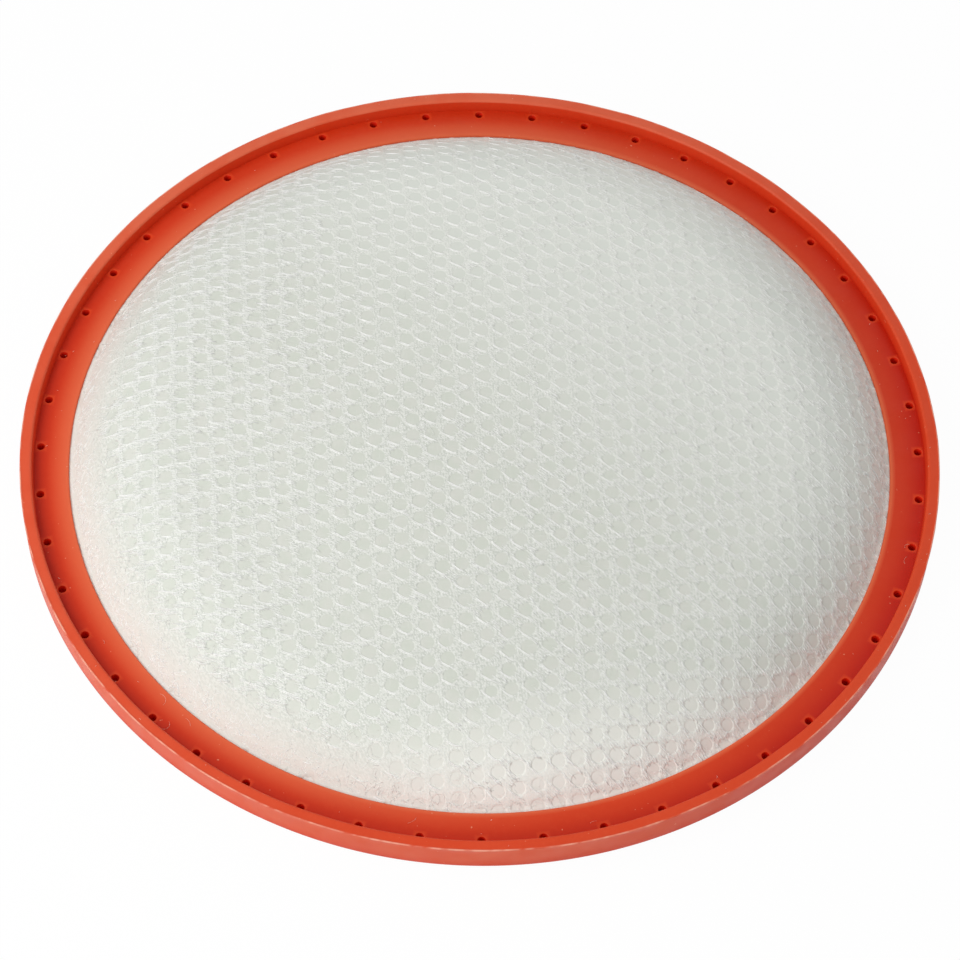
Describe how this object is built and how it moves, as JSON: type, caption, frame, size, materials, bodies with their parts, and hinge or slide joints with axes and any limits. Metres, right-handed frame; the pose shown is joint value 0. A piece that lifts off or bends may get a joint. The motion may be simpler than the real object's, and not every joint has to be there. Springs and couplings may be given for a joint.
{
  "type": "vacuum pre-motor filter",
  "caption": "Round washable vacuum filter: a domed felt pad under a white knitted mesh, moulded by its edge into an orange rubber seal ring.",
  "frame": {"origin": "middle of the seal ring's flat underside", "axes": "+Z along the ring's axis, out of the domed mesh face; the picture looks from the -Y side with +X to the right"},
  "size_m": [0.16, 0.16, 0.0153],
  "materials": {
    "rubber": "satin",
    "mesh": "matte knitted polyester",
    "felt": "matte needled felt"
  },
  "bodies": {
    "root": {"seal_ring": "rubber", "mesh_cover": "mesh", "filter_felt": "felt"}
  },
  "joints": []
}
